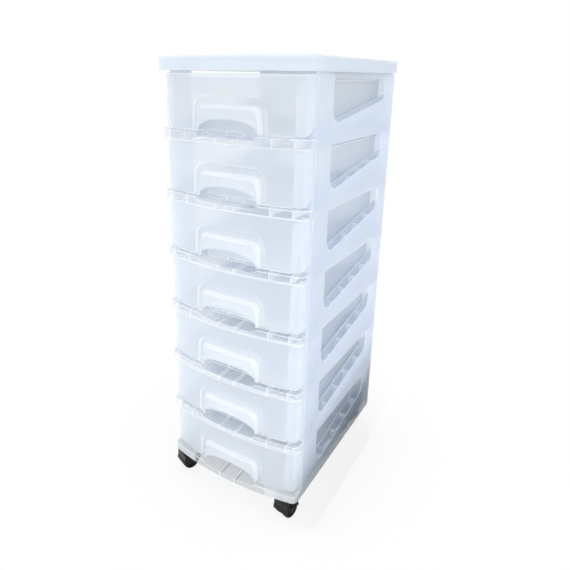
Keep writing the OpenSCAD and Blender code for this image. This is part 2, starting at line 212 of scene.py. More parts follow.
def clear_plastic(name, colour, solid, scatter, rough, ripple, tint=(0.988, 0.994, 1.0)):
    """solid is the share that can't be seen through, and scatter how much of it lets light on."""
    mat, n, l, shader, place = finish(name)
    shader.inputs["Base Color"].default_value = (*colour, 1)
    shader.inputs["IOR"].default_value = PLASTIC_IOR
    shader.inputs["Coat Weight"].default_value = COAT
    shader.inputs["Coat Roughness"].default_value = COAT_ROUGH
    frost = spread(n, l, noise(n, l, place, FROST), rough - 0.05, rough + 0.07)
    l.new(frost, shader.inputs["Roughness"])
    l.new(bump(n, l, noise(n, l, place, ripple, 2), RIPPLE_DEPTH), shader.inputs["Normal"])
    through = n.new("ShaderNodeBsdfTranslucent")
    through.inputs["Color"].default_value = (*colour, 1)
    gap = n.new("ShaderNodeBsdfTransparent")
    gap.inputs["Color"].default_value = (*tint, 1)
    milky = blended(n, l, scatter, shader.outputs[0], through.outputs[0])
    share = spread(n, l, noise(n, l, place, CLOUDS), solid - CLOUD_SHARE, solid + CLOUD_SHARE)
    l.new(blended(n, l, share, gap.outputs[0], milky), n["Material Output"].inputs["Surface"])
    return mat


print("clear plastic ready")

# %% [markdown]
# The real tower is one kind of plastic throughout, yet its pieces look different: the frames
# and the cover are milky, the drawers clearer, and the ledges the clearest. Light that runs
# along inside a sheet leaves it at its edges, so narrow faces along rims, ribs and openings get
# a bright, more solid finish of their own. The lowest ledge, with nothing but the floor under
# it, gets painted shade: a grey finish with a darker see-through tint. It is milkier over the
# castors, where its sockets are. Each clear piece holds five finishes, its own first, and every
# face picks one by its number.

# %% Clear finishes
frame_plastic = clear_plastic("milky clear frame plastic", (0.88, 0.93, 1.0),
                              solid=0.55, scatter=0.4, rough=0.3, ripple=18)
drawer_plastic = clear_plastic("clear drawer plastic", (0.95, 0.973, 1.0),
                               solid=0.4, scatter=0.4, rough=0.2, ripple=12)
cover_plastic = clear_plastic("milky cover plastic", (0.9, 0.95, 1.0),
                              solid=0.6, scatter=0.4, rough=0.3, ripple=18)
edge_plastic = clear_plastic("bright edges of clear plastic", (0.97, 0.985, 1.0),
                             solid=0.62, scatter=0.3, rough=0.14, ripple=30)
ledge_plastic = clear_plastic("clear ledge plastic", (0.99, 0.993, 1.0),
                              solid=0.21, scatter=0.4, rough=0.2, ripple=18,
                              tint=(0.985, 0.99, 1.0))
castor_ledge_plastic = clear_plastic("milky ledge plastic", (0.9, 0.92, 0.94),
                                     solid=0.62, scatter=0.4, rough=0.2, ripple=18)
# Painted shade: the grey colour and the darker see-through tint stand in for the shade under the
# lowest ledge.
painted_shade_ledge_plastic = clear_plastic("ledge plastic with painted shade", (0.9, 0.92, 0.94),
                                   solid=0.21, scatter=0.4, rough=0.2, ripple=18,
                                   tint=(0.83, 0.84, 0.85))
OWN, BRIGHT, LEDGE, CASTOR_LEDGE, PAINTED_SHADE_LEDGE = range(5)
FACE_FINISHES = (edge_plastic, ledge_plastic, castor_ledge_plastic, painted_shade_ledge_plastic)
print("clear finishes", 1 + len(FACE_FINISHES), "to a piece")

# %% [markdown]
# A castor's hood is glossy black, its wheels are a duller black, and its stem and axle are
# turned steel. A plain dark colour would look like paint, so fine grain in the roughness and
# the surface breaks up the highlights, as a mould's skin does.

# %% Black plastics and steel
TRACE_OF_BLUE, SATIN, SKIN_DEPTH = 1.06, 240, 0.00004


def black_plastic(name, shade, rough, grain):
    mat, n, l, shader, place = finish(name)
    shader.inputs["Base Color"].default_value = (shade, shade, shade * TRACE_OF_BLUE, 1)
    shader.inputs["Specular IOR Level"].default_value = 0.3
    satin = spread(n, l, noise(n, l, place, SATIN), rough - 0.06, rough + 0.08)
    l.new(satin, shader.inputs["Roughness"])
    l.new(bump(n, l, noise(n, l, place, grain), SKIN_DEPTH), shader.inputs["Normal"])
    return mat


hood_black = black_plastic("gloss black hood plastic", 0.006, rough=0.26, grain=900)
wheel_black = black_plastic("black wheel plastic", 0.01, rough=0.4, grain=1400)
steel, n, l, shader, place = finish("turned steel")
shader.inputs["Base Color"].default_value = (0.62, 0.62, 0.64, 1)
shader.inputs["Metallic"].default_value = 1
l.new(spread(n, l, noise(n, l, place, 500), 0.22, 0.38), shader.inputs["Roughness"])
print("black plastics and steel ready")

# %% [markdown]
# Some steps come up on every piece: finding edges or faces that lie at one height, cutting
# right through, rounding corners and edges, and pulling faces along. In a script, a bevel's
# settings start from other values than in the editor, so two helpers state them once.

# %% Mesh helpers
Y, Z = 1, 2
ALONG_X, ALONG_Y = (1, 0, 0), (0, 1, 0)
SAME = 1e-6


def verts_of(made):
    return [g for g in made["geom"] if isinstance(g, bmesh.types.BMVert)]


def level_with(things, axis, value):
    """The edges or faces whose corners all lie at one value along an axis."""
    return [t for t in things if all(abs(v.co[axis] - value) < SAME for v in t.verts)]


def sharp_of(edges, limit):
    """The edges where two faces meet at a turn of more than limit degrees."""
    return [e for e in edges if e.is_manifold and e.calc_face_angle() > radians(limit)]


def cut_at(bm, distance, normal=ALONG_X):
    bmesh.ops.bisect_plane(bm, geom=bm.verts[:] + bm.edges[:] + bm.faces[:], dist=SAME,
                           plane_co=[distance * n for n in normal], plane_no=normal)


def round_corners(bm, corners, radius, segments):
    bmesh.ops.bevel(bm, geom=corners, offset=radius, offset_type="OFFSET", segments=segments,
                    profile=0.5, affect="VERTICES", material=-1, clamp_overlap=True)


def round_edges(bm, edges, width, segments, clamp=True):
    """Bevels edges and returns the faces that this makes."""
    return bmesh.ops.bevel(bm, geom=edges, offset=width, offset_type="OFFSET",
                           segments=segments, profile=0.5, affect="EDGES", material=-1,
                           clamp_overlap=clamp)["faces"]


def pull(bm, faces, move):
    """Extrudes faces along move and returns what this makes."""
    made = bmesh.ops.extrude_face_region(bm, geom=faces)
    bmesh.ops.translate(bm, vec=move, verts=verts_of(made))
    return made["geom"]


print("mesh helpers ready")

# %% [markdown]
# New pieces start as a flat outline. Most of them are then pulled into a block, whose normals
# are made to point outwards before anything else is done to it.


# %% Outline helpers
def outlined(points):
    bm = bmesh.new()
    bm.faces.new([bm.verts.new(p) for p in points])
    return bm


def picked(bm, numbers):
    bm.verts.ensure_lookup_table()
    return [bm.verts[i] for i in numbers]


def raised(points, corners, radius, move, segments=8):
    """A flat outline with some corners rounded, pulled along move."""
    bm = outlined(points)
    round_corners(bm, picked(bm, corners), radius, segments)
    pull(bm, bm.faces[:], move)
    bmesh.ops.recalc_face_normals(bm, faces=bm.faces[:])
    return bm


print("outline helpers ready")

# %% [markdown]
# Moulded plastic has no knife edges: a small round along each edge is what catches the light.
# The round could come from a Bevel modifier, but here its faces also have to take the bright
# finish, so it is cut in the mesh. The narrow faces between two sharp edges, such as the rim of
# a wall or the foot of a rib, get the same finish.

# %% Bright edges
EDGE_STEPS = 2
NARROW = 0.0026


def mark_bright(faces):
    for face in faces:
        face.material_index = BRIGHT


def soften(bm, width, limit, clamp=True):
    """Rounds all edges that turn by more than limit degrees."""
    bm.normal_update()
    mark_bright(round_edges(bm, sharp_of(bm.edges, limit), width, EDGE_STEPS, clamp))


def brighten_edges(bm):
    """Marks narrow faces along rims, ribs and openings, where light leaves the plastic."""
    bm.normal_update()
    for face in bm.faces:
        sharp = sum(e.calc_length() for e in sharp_of(face.edges, 40))
        if sharp > 0.5 * face.calc_perimeter() and 2 * face.calc_area() < NARROW * sharp:
            mark_bright([face])


print("bright edges ready")

# %% [markdown]
# Each frame's shelf stands out in front of the posts as a bowed ledge, clear enough for the
# ribs under it to show. It could be a piece of its own, but the real one isn't, so only its
# finish sets it off: planes are cut through the frame's mesh where the finish changes, the
# ledge's upper and lower rims are rounded, and each face is marked by where its middle lies. The
# clear finish runs on a little behind the posts' front, nearly to where the ribs end.

# %% Clear ledge
LEDGE_END, SKIRT, LOWEST_SKIRT = -0.1535, 0.016, 0.048
LEDGE_RIBS, HALF_RIB = (0.018, 0.088, 0.127), 0.0008
CASTOR_ZONE = 0.0895
RIM_R, SLACK, RIB_SLACK = 0.001, 0.001, 0.0002


def on_the_rim(edge):
    """Tells whether an edge runs along the ledge's outside."""
    middle = (edge.verts[0].co + edge.verts[1].co) / 2
    from_middle = Vector((middle.x, middle.y, 0))
    outward = any(f.normal.dot(from_middle) > 0.01 for f in edge.link_faces)
    return middle.y < LEDGE_END - SLACK and bool(sharp_of([edge], 60)) and outward


def ledge_finish(x, lowest):
    """The finish of a ledge's face at x from the middle."""
    if any(abs(x - rib) < HALF_RIB + RIB_SLACK for rib in LEDGE_RIBS):
        return BRIGHT
    if not lowest:
        return LEDGE
    # Elsewhere on the lowest ledge, the face takes the finish with painted shade.
    return CASTOR_LEDGE if x > CASTOR_ZONE else PAINTED_SHADE_LEDGE


def clear_ledge(bm):
    """Marks the ledge, and the sides of the ribs that show through it."""
    cut_at(bm, LEDGE_END, ALONG_Y)
    for x in [CASTOR_ZONE] + [x + half for x in LEDGE_RIBS for half in (-HALF_RIB, HALF_RIB)]:
        cut_at(bm, x)
        cut_at(bm, -x)
    low = min(v.co.z for v in bm.verts)
    bm.normal_update()
    rims = [e for z in (low, low + SKIRT) for e in level_with(bm.edges, Z, z) if on_the_rim(e)]
    mark_bright(round_edges(bm, rims, RIM_R, 3, clamp=False))
    bm.normal_update()
    for face in bm.faces:
        middle = face.calc_center_median()
        in_ledge = middle.y < LEDGE_END and middle.z < low + SKIRT + SLACK / 2
        if in_ledge and face.material_index == OWN:
            face.material_index = ledge_finish(abs(middle.x), low < LOWEST_SKIRT + SLACK)


print("clear ledge ready")

# %% [markdown]
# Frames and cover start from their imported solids, because a frame's shelf, ribs, windows and
# rim are one complicated moulding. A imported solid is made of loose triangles. Twice over, the
# corners that meet are merged, a little more widely the second time to close up tiny steps, and
# triangles that lie flat together are joined back into whole faces. Then the edges are rounded.
# A piece is shown smooth up to a turn of 35 degrees, and sharp past it.

# %% Soft-edged mouldings
MERGE_STEPS = ((SAME, 0.4), (0.0003, 1))
SMOOTH_UP_TO = radians(35)


def show(name, bm):
    mesh = bpy.data.meshes.new(name)
    bm.to_mesh(mesh)
    bm.free()
    mesh.shade_smooth()
    mesh.set_sharp_from_angle(angle=SMOOTH_UP_TO)
    piece = bpy.data.objects.new(name, mesh)
    bpy.context.collection.objects.link(piece)
    print(name, "faces", len(mesh.polygons))
    return piece


def moulding(name, node, width, ledge=False):
    """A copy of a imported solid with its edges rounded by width."""
    bm = bmesh.new()
    bm.from_mesh(nodes[node].data)
    for step, turn in MERGE_STEPS:
        bmesh.ops.remove_doubles(bm, verts=bm.verts, dist=step)
        bmesh.ops.dissolve_limit(bm, angle_limit=radians(turn), verts=bm.verts, edges=bm.edges)
    brighten_edges(bm)
    if ledge:
        clear_ledge(bm)
    soften(bm, width, limit=40, clamp=False)
    return show(name, bm)


def copy_up(piece, name, rise):
    mesh = piece.data.copy()
    mesh.transform(Matrix.Translation((0, 0, rise)))
    copy = bpy.data.objects.new(name, mesh)
    bpy.context.collection.objects.link(copy)
    return copy


def dress(piece, node, body, own_finish, face_finishes=()):
    """Gives a piece its finishes and the body it rides on, and hides the solid it stands for."""
    for mat in (own_finish, *face_finishes):
        piece.data.materials.append(mat)
    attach(piece, body)
    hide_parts(node)


print("moulding helpers ready")

# %% [markdown]
# Frames two to seven come out of one mould, so the second frame is finished once and copied
# up by the step between shelves. The lowest frame has sockets for the castors, and the cover is
# a shallow tray, so these two are moulded on their own. A copy takes its finishes along, so the
# copies are made before the frame that they come from is dressed.

# %% Frames and cover
PITCH, LEVELS = 0.1135, 7
FRAME_EDGE, COVER_EDGE = 0.0005, 0.001


def dress_frame(piece, level):
    dress(piece, f"frame_{level}", "tower", frame_plastic, FACE_FINISHES)


dress_frame(moulding("frame_moulding_1", "frame_1", FRAME_EDGE, ledge=True), 1)
second_frame = moulding("frame_moulding_2", "frame_2", FRAME_EDGE, ledge=True)
for level in range(3, LEVELS + 1):
    dress_frame(copy_up(second_frame, f"frame_moulding_{level}", (level - 2) * PITCH), level)
dress_frame(second_frame, 2)
dress(moulding("cover_moulding", "top_cover", COVER_EDGE), "top_cover", "tower",
      cover_plastic, FACE_FINISHES)

# %% [markdown]
# A drawer's front is a bowed sheet with a stepped arch, a grip that stands proud of it and an
# opening for the fingers. It could be cut out of a solid, but then its thin walls and soft
# corners are hard to keep even. Here it is drawn flat, as a sheet seen from the front: each
# step is split off the sheet and pushed in or out, the sheet gets its wall thickness, the
# edges are rounded, and only then is it bent round the front's plan. The plan is one large
# circle with a small round at each end. Heights here are above the lower edge of the frame's
# skirt, and depths are from the front of the posts.

# %% Where the front runs
FRONT_HALF, REACH, BOW, EDGE_R = 0.1475, 0.014, 0.017, 0.013
FRONT_LOW, FRONT_TOP, CORNER_R, POST_GAP = 0.0175, 0.112, 0.014, 0.0015
circle = (FRONT_HALF ** 2 + BOW ** 2) / (2 * BOW)
centre = circle - REACH - BOW
corner_x = FRONT_HALF - EDGE_R
corner_y = centre - sqrt((circle - EDGE_R) ** 2 - corner_x ** 2)
corner_turn = atan2(corner_x, centre - corner_y)
face_run, round_run = circle * corner_turn, EDGE_R * (pi / 2 - corner_turn)
half_run = face_run + round_run - POST_GAP - corner_y


def front_at(s):
    """Place and outward direction at the distance s round the front from its middle."""
    d = abs(s)
    if d <= face_run:
        a, cx, cy, r = d / circle, 0, centre, circle
    elif d <= face_run + round_run:
        a, cx, cy, r = corner_turn + (d - face_run) / EDGE_R, corner_x, corner_y, EDGE_R
    else:
        a, cx, cy, r = pi / 2, corner_x, corner_y + d - face_run - round_run, EDGE_R
    side = 1 if s >= 0 else -1
    place = Vector((side * (cx + r * sin(a)), cy - r * cos(a), 0))
    return place, Vector((side * sin(a), -cos(a), 0))


def bow(x):
    """Depth of the front's outer face at x."""
    return centre - sqrt(circle ** 2 - x ** 2)


print("front runs", round(2 * half_run, 4), "round the bow, deepest at", round(bow(0), 4))

# %% [markdown]
# Two helpers draw the steps of the front. One cuts an arch out of an upright flat face and
# rounds its upper corners, the other pushes the part inside in or out. The strip that a push
# leaves along the sheet's lower edge goes, because the real step is open there.


# %% Splitting and pushing a flat sheet
def split_arch(bm, face, foot, rise, radius=0):
    """Cuts an arch into an upright face, from foot to foot along rise, and returns the inside."""
    low = min(v.co.z for v in face.verts)
    depth = face.verts[0].co.y
    feet = []
    for x in (-foot, foot):
        edge = next(e for e in level_with(face.edges, Z, low)
                    if min(v.co.x for v in e.verts) < x < max(v.co.x for v in e.verts))
        a, b = edge.verts
        _, new = bmesh.utils.edge_split(edge, a, (x - a.co.x) / (b.co.x - a.co.x))
        feet.append(new)
    bmesh.utils.face_split(face, *feet, coords=[Vector((x, depth, z)) for x, z in rise])
    bm.normal_update()
    top = max(z for x, z in rise)
    if radius:
        corners = [v for v in bm.verts
                   if any((v.co - Vector((x, depth, z))).length < SAME for x, z in rise)]
        round_corners(bm, corners, radius, 8)
    return next(f for f in bm.faces if max(abs(v.co.x) for v in f.verts) < foot + SAME
                and max(v.co.z for v in f.verts) < top + SAME
                and abs(f.calc_center_median().y - depth) < SAME)


def push(bm, face, move):
    """Extrudes a face and drops the strip that this leaves along the sheet's lower edge."""
    low = min(v.co.z for v in face.verts)
    made = pull(bm, [face], move)
    bmesh.ops.delete(bm, geom=[face], context="FACES")
    bmesh.ops.delete(bm, geom=level_with(bm.faces, Z, low), context="FACES")
    cap = next(f for f in made if isinstance(f, bmesh.types.BMFace))
    for edge in cap.edges:
        mark_bright(edge.link_faces)
    cap.material_index = OWN
    return cap


print("sheet helpers ready")

# %% [markdown]
# A pushed face is drawn in a little, since a mould needs sloping sides to let go of the piece.
# The columns that are cut before the bend let the flat sheet follow the curve, closer together
# where the curve is tighter. The bend also lifts the lower corners into a round.

# %% Slopes and bend
COLUMN_ON_FACE, COLUMN_ON_ROUND = 0.006, 0.0022


def draw_in(face, across, up):
    """Shrinks a pushed face towards the middle of its lower edge, so that its sides slope."""
    for v in face.verts:
        v.co.x *= across
        v.co.z = FRONT_LOW + (v.co.z - FRONT_LOW) * up


def bend(bm):
    """Bends the flat front round its plan."""
    x = COLUMN_ON_FACE / 2
    while x < half_run:
        cut_at(bm, x)
        cut_at(bm, -x)
        x += COLUMN_ON_FACE if x < face_run - COLUMN_ON_FACE else COLUMN_ON_ROUND
    for v in bm.verts:
        place, out = front_at(v.co.x)
        swing = max(abs(place.x) - (FRONT_HALF - CORNER_R), 0)
        lift = CORNER_R - sqrt(CORNER_R ** 2 - swing ** 2)
        z = v.co.z + lift * (FRONT_TOP - v.co.z) / (FRONT_TOP - FRONT_LOW)
        v.co = place - out * v.co.y
        v.co.z = z


print("slopes and bend ready")

# %% [markdown]
# The front itself, step by step: sheet, arch, grip, opening for the fingers, flanges at the
# top and bottom, wall thickness, soft edges, and last the bend.

# %% Drawer front
FRONT_WALL, FLANGE, FRONT_RIM_R, FRONT_EDGE = 0.0022, 0.007, 0.0018, 0.0005
ARCH_FOOT, ARCH_HALF, ARCH_TOP, ARCH_R, ARCH_STEP = 0.076, 0.073, 0.078, 0.022, 0.003
GRIP_FOOT, GRIP_HALF, GRIP_TOP, GRIP_R, GRIP_OUT = 0.067, 0.064, 0.063, 0.015, 0.007
GRIP_SPLAY = 1.054
OPENING_HALF, OPENING_RISE, OPENING_STEPS = 0.06, 0.02, 24


def drawer_front():
    bm = outlined([(-half_run, 0, FRONT_LOW), (half_run, 0, FRONT_LOW),
                   (half_run, 0, FRONT_TOP), (-half_run, 0, FRONT_TOP)])
    bm.normal_update()
    sheet = bm.faces[:][0]
    rise = ((-ARCH_HALF, ARCH_TOP), (ARCH_HALF, ARCH_TOP))
    arch = push(bm, split_arch(bm, sheet, ARCH_FOOT, rise, ARCH_R), (0, ARCH_STEP, 0))
    draw_in(arch, across=0.974, up=0.967)
    rise = ((-GRIP_HALF, GRIP_TOP), (GRIP_HALF, GRIP_TOP))
    grip = push(bm, split_arch(bm, arch, GRIP_FOOT, rise, GRIP_R), (0, -GRIP_OUT, 0))
    draw_in(grip, across=0.906, up=0.868)
    for v in grip.verts:
        if v.co.z < FRONT_LOW + SAME:
            v.co.x *= GRIP_SPLAY
    bm.normal_update()
    rise = [(-OPENING_HALF * cos(a), OPENING_RISE + OPENING_RISE * sin(a))
            for a in (pi * i / OPENING_STEPS for i in range(OPENING_STEPS + 1))]
    opening = split_arch(bm, grip, OPENING_HALF, rise)
    bmesh.ops.delete(bm, geom=[opening], context="FACES")
    for z in (FRONT_TOP, FRONT_LOW):
        border = [e for e in level_with(level_with(bm.edges, Z, z), Y, 0) if e.is_boundary]
        made = bmesh.ops.extrude_edge_only(bm, edges=border)
        bmesh.ops.translate(bm, vec=(0, FLANGE, 0), verts=verts_of(made))
    bm.normal_update()
    bmesh.ops.solidify(bm, geom=bm.faces[:], thickness=FRONT_WALL)
    bm.normal_update()
    rims = [e for z in (FRONT_TOP, FRONT_LOW)
            for e in level_with(level_with(bm.edges, Z, z), Y, 0)]
    mark_bright(round_edges(bm, rims, FRONT_RIM_R, 3))
    brighten_edges(bm)
    soften(bm, FRONT_EDGE, limit=35)
    bend(bm)
    return bm


front = drawer_front()
print("front faces", len(front.faces), "open edges", sum(not e.is_manifold for e in front.edges))

# %% [markdown]
# Behind the grip is the finger pocket, which closes the grip off from the drawer's inside. It
# starts as an upright outline that is pulled forward, opened at the front and at the bottom,
# and given its wall thickness. The end that meets the front follows its bow.

# %% Finger pocket
POCKET_BACK, POCKET_DEPTH, POCKET_LOW = -0.005, 0.02, FRONT_LOW + 0.0002
POCKET_HALF_LOW, POCKET_HALF_TOP, POCKET_TOP, POCKET_R = 0.0665, 0.064, 0.063, 0.012
POCKET_COLUMNS, COLUMN = 5, 0.0122


def cut_columns(bm, count):
    """Cuts a flat piece into columns that can follow the bow, count of them on each side."""
    for k in range(-count, count + 1):
        cut_at(bm, k * COLUMN)


def follow_bow(bm, mouth, shift):
    """Bends what lies in front of mouth round the drawer front, and moves it back by shift."""
    for v in bm.verts:
        if v.co.y < mouth:
            v.co.y += bow(v.co.x) + shift


def finger_pocket():
    bm = raised([(POCKET_HALF_LOW, POCKET_BACK, POCKET_LOW),
                 (-POCKET_HALF_LOW, POCKET_BACK, POCKET_LOW),
                 (-POCKET_HALF_TOP, POCKET_BACK, POCKET_TOP),
                 (POCKET_HALF_TOP, POCKET_BACK, POCKET_TOP)],
                (2, 3), POCKET_R, (0, -POCKET_DEPTH, 0))
    ends = (level_with(bm.faces, Z, POCKET_LOW)
            + level_with(bm.faces, Y, POCKET_BACK - POCKET_DEPTH))
    bmesh.ops.delete(bm, geom=ends, context="FACES")
    bmesh.ops.solidify(bm, geom=bm.faces[:], thickness=FRONT_WALL)
    soften(bm, FRONT_EDGE, limit=40)
    cut_columns(bm, POCKET_COLUMNS)
    follow_bow(bm, mouth=-0.015, shift=0.029)
    return bm


pocket = finger_pocket()
print("pocket faces", len(pocket.faces))

# %% [markdown]
# The tub is a deep tray with rounded back corners and a rim along its top. Its front is the
# drawer front, so it is open there, and its bottom is cut away in front for the finger pocket.
# It starts as a flat outline too. Its faces are turned outwards before it gets its wall, which
# grows on the side that they look away from.

# %% Tub
TUB_HALF, TUB_FRONT, TUB_BACK, TUB_R, TUB_WALL = 0.1255, -0.03, 0.352, 0.022, 0.0018
TUB_LOW, TUB_TOP, RIM, TUB_FOOT_R, TUB_EDGE = 0.0163, 0.1043, 0.003, 0.004, 0.0004
ROOM_HALF, ROOM_BACK = 0.0655, -0.006
TUB_COLUMNS = 10


def tub():
    shoulder = TUB_TOP - TUB_WALL
    bm = raised([(-TUB_HALF, TUB_FRONT, TUB_LOW), (-TUB_HALF, TUB_BACK, TUB_LOW),
                 (TUB_HALF, TUB_BACK, TUB_LOW), (TUB_HALF, TUB_FRONT, TUB_LOW)],
                (1, 2), TUB_R, (0, 0, shoulder - TUB_LOW))
    open_sides = level_with(bm.faces, Z, shoulder) + level_with(bm.faces, Y, TUB_FRONT)
    bmesh.ops.delete(bm, geom=open_sides, context="FACES")
    foot = [e for e in level_with(bm.edges, Z, TUB_LOW) if e.is_manifold]
    round_edges(bm, foot, TUB_FOOT_R, 3)
    rim = [e for e in level_with(bm.edges, Z, shoulder) if e.is_boundary]
    for v in verts_of(bmesh.ops.extrude_edge_only(bm, edges=rim)):
        out = Vector((max(abs(v.co.x) - TUB_HALF + TUB_R, 0),
                      max(v.co.y - TUB_BACK + TUB_R, 0), 0))
        out.x *= 1 if v.co.x > 0 else -1
        v.co += out.normalized() * RIM
    cut_columns(bm, TUB_COLUMNS)
    for x in (-ROOM_HALF, ROOM_HALF):
        cut_at(bm, x)
    cut_at(bm, ROOM_BACK, ALONG_Y)
    room = [f for f in bm.faces if max(v.co.y for v in f.verts) < ROOM_BACK + SAME
            and max(abs(v.co.x) for v in f.verts) < ROOM_HALF + SAME]
    bmesh.ops.delete(bm, geom=room, context="FACES")
    bmesh.ops.recalc_face_normals(bm, faces=bm.faces[:])
    if level_with(bm.faces, Z, TUB_LOW)[0].normal.z > 0:
        bmesh.ops.reverse_faces(bm, faces=bm.faces[:])
    bmesh.ops.solidify(bm, geom=bm.faces[:], thickness=TUB_WALL)
    brighten_edges(bm)
    soften(bm, TUB_EDGE, limit=40)
    follow_bow(bm, mouth=-0.02, shift=0.031)
    return bm


drawer_tub = tub()
print("tub faces", len(drawer_tub.faces))

# %% [markdown]
# Front, pocket and tub are one moulding on the real drawer, so they become one mesh. All seven
# drawers are alike, so the lowest is made and the others are copies at their own shelf. Each
# rides on its own body, which slides.

# %% The seven drawers
FRONT_OF_POSTS = -0.1645


def joined(parts):
    """One mesh of several, which are used up."""
    whole = bmesh.new()
    for bm in parts:
        piece = bpy.data.meshes.new("part")
        bm.to_mesh(piece)
        whole.from_mesh(piece)
        bm.free()
        bpy.data.meshes.remove(piece)
    return whole


def dress_drawer(piece, level):
    dress(piece, f"drawer_{level}", f"drawer_body_{level}", drawer_plastic,
          FACE_FINISHES)


drawer = joined([front, pocket, drawer_tub])
bmesh.ops.translate(drawer, vec=(0, FRONT_OF_POSTS, LOWEST_SKIRT), verts=drawer.verts)
print("open edges", sum(not e.is_manifold for e in drawer.edges))
first_drawer = show("drawer_moulding_1", drawer)
for level in range(2, LEVELS + 1):
    dress_drawer(copy_up(first_drawer, f"drawer_moulding_{level}", (level - 1) * PITCH), level)
dress_drawer(first_drawer, 1)

# %% [markdown]
# A castor's hood is a round arch over the two wheels, a crown above them that narrows towards
# the stem, and a web between the wheels that carries the axle. The arch is a small section
# swept round the axle. Until it is placed, a castor's stem stands at the origin and its axle
# lies towards -Y from it.

# %% Arch over the wheels
TRAIL, AXLE_Z = 0.0145, 0.0175
HOOD_IN, HOOD_OUT, HOOD_HALF, HOOD_LOW, HOOD_EDGE = 0.0183, 0.0197, 0.0169, 0.016, 0.001
SWEEP_STEPS = 40
ON_AXLE = Matrix.Translation((0, -TRAIL, AXLE_Z))


def arch_over_wheels():
    start = atan2(AXLE_Z - HOOD_LOW, HOOD_OUT)
    section = ((-HOOD_HALF, HOOD_IN), (HOOD_HALF, HOOD_IN),
               (HOOD_HALF, HOOD_OUT), (-HOOD_HALF, HOOD_OUT))
    bm = outlined([(x, r * cos(start), -r * sin(start)) for x, r in section])
    round_corners(bm, picked(bm, (2, 3)), HOOD_EDGE, 4)
    bmesh.ops.spin(bm, geom=bm.verts[:] + bm.edges[:] + bm.faces[:], cent=(0, 0, 0),
                   axis=ALONG_X, angle=pi + 2 * start, steps=SWEEP_STEPS, use_merge=False)
    bmesh.ops.recalc_face_normals(bm, faces=bm.faces[:])
    bmesh.ops.transform(bm, matrix=ON_AXLE, verts=bm.verts)
    return bm


hood_arch = arch_over_wheels()
print("arch faces", len(hood_arch.faces))

# %% [markdown]
# The crown is drawn from the side and pulled across. Its sides are then drawn in from the axle
# to the stem, where they end in a round boss. Planes cut across it first, so that its sides can
# follow that plan.

# %% Crown
CROWN_HALF, CROWN_FRONT, CROWN_TOP, CROWN_R = 0.0164, -0.0322, 0.0457, 0.009
CROWN_TAPER, CROWN_EDGE, UNDER_STEPS = 0.0062, 0.0022, 20
BOSS, BOSS_FROM, BOSS_R, BOSS_LEAST = 0.009, 0.003, 0.0095, 0.001
CROWN_CUTS = (-TRAIL, -0.01, -0.005, 0, 0.003, 0.005, 0.007, 0.0083)


def crown():
    under = (HOOD_IN + HOOD_OUT) / 2
    low = AXLE_Z + sqrt(under ** 2 - (CROWN_FRONT + TRAIL) ** 2)
    top = atan2(low - AXLE_Z, CROWN_FRONT + TRAIL)
    turns = (top * k / UNDER_STEPS for k in range(UNDER_STEPS))
    bm = outlined([(0, CROWN_FRONT, low), (0, CROWN_FRONT, CROWN_TOP), (0, BOSS, CROWN_TOP),
                   (0, BOSS, AXLE_Z)]
                  + [(0, -TRAIL + under * cos(a), AXLE_Z + under * sin(a)) for a in turns])
    round_corners(bm, picked(bm, (1, 2)), CROWN_R, 10)
    for y in CROWN_CUTS:
        cut_at(bm, y, ALONG_Y)
    bmesh.ops.translate(bm, vec=(-CROWN_HALF, 0, 0), verts=bm.verts)
    pull(bm, bm.faces[:], (2 * CROWN_HALF, 0, 0))
    bmesh.ops.recalc_face_normals(bm, faces=bm.faces[:])
    bm.normal_update()
    shoulders = [e for e in sharp_of(bm.edges, 60)
                 if abs(e.verts[0].co.x - e.verts[1].co.x) < SAME
                 and min(Vector((v.co.y + TRAIL, v.co.z - AXLE_Z)).length
                         for v in e.verts) > HOOD_OUT]
    round_edges(bm, shoulders, CROWN_EDGE, 4)
    for v in bm.verts:
        back_share = max(v.co.y + TRAIL, 0) / TRAIL
        half = CROWN_HALF - CROWN_TAPER * back_share
        if v.co.y > BOSS_FROM:
            half = min(half, sqrt(max(BOSS_R ** 2 - v.co.y ** 2, 0)) + BOSS_LEAST)
        v.co.x *= half / CROWN_HALF
    return bm


hood_crown = crown()
print("crown faces", len(hood_crown.faces))

# %% [markdown]
# The web is a disc round the axle and a neck that carries it up into the crown. Both are hidden
# between the wheels, but they show from below. With it, the hood is one mesh.

# %% Web and whole hood
WEB_R, WEB_HALF, WEB_EDGE = 0.013, 0.005, 0.0008
NECK_BACK, NECK_HEIGHT, NECK_R = 0.005, 0.0265, 0.002


def web_disc():
    bm = bmesh.new()
    bmesh.ops.create_cone(bm, cap_ends=True, segments=48, radius1=WEB_R, radius2=WEB_R,
                          depth=2 * WEB_HALF, matrix=ON_AXLE @ Matrix.Rotation(pi / 2, 4, "Y"))
    soften(bm, WEB_EDGE, limit=60)
    return bm


def web_neck():
    return raised([(-WEB_HALF, -TRAIL, AXLE_Z), (WEB_HALF, -TRAIL, AXLE_Z),
                   (WEB_HALF, NECK_BACK, AXLE_Z), (-WEB_HALF, NECK_BACK, AXLE_Z)],
                  (2, 3), NECK_R, (0, 0, NECK_HEIGHT), segments=3)


hood = joined([hood_arch, hood_crown, web_disc(), web_neck()])
print("hood faces", len(hood.faces), "open edges", sum(not e.is_manifold for e in hood.edges))

# %% [markdown]
# A wheel is a moulded disc with a rounded tread, a dished outer face and a hub whose cap hides
# the axle's end. It is round about its axle, so its half section is drawn once and swept all
# the way round, as if it were turned on a lathe.

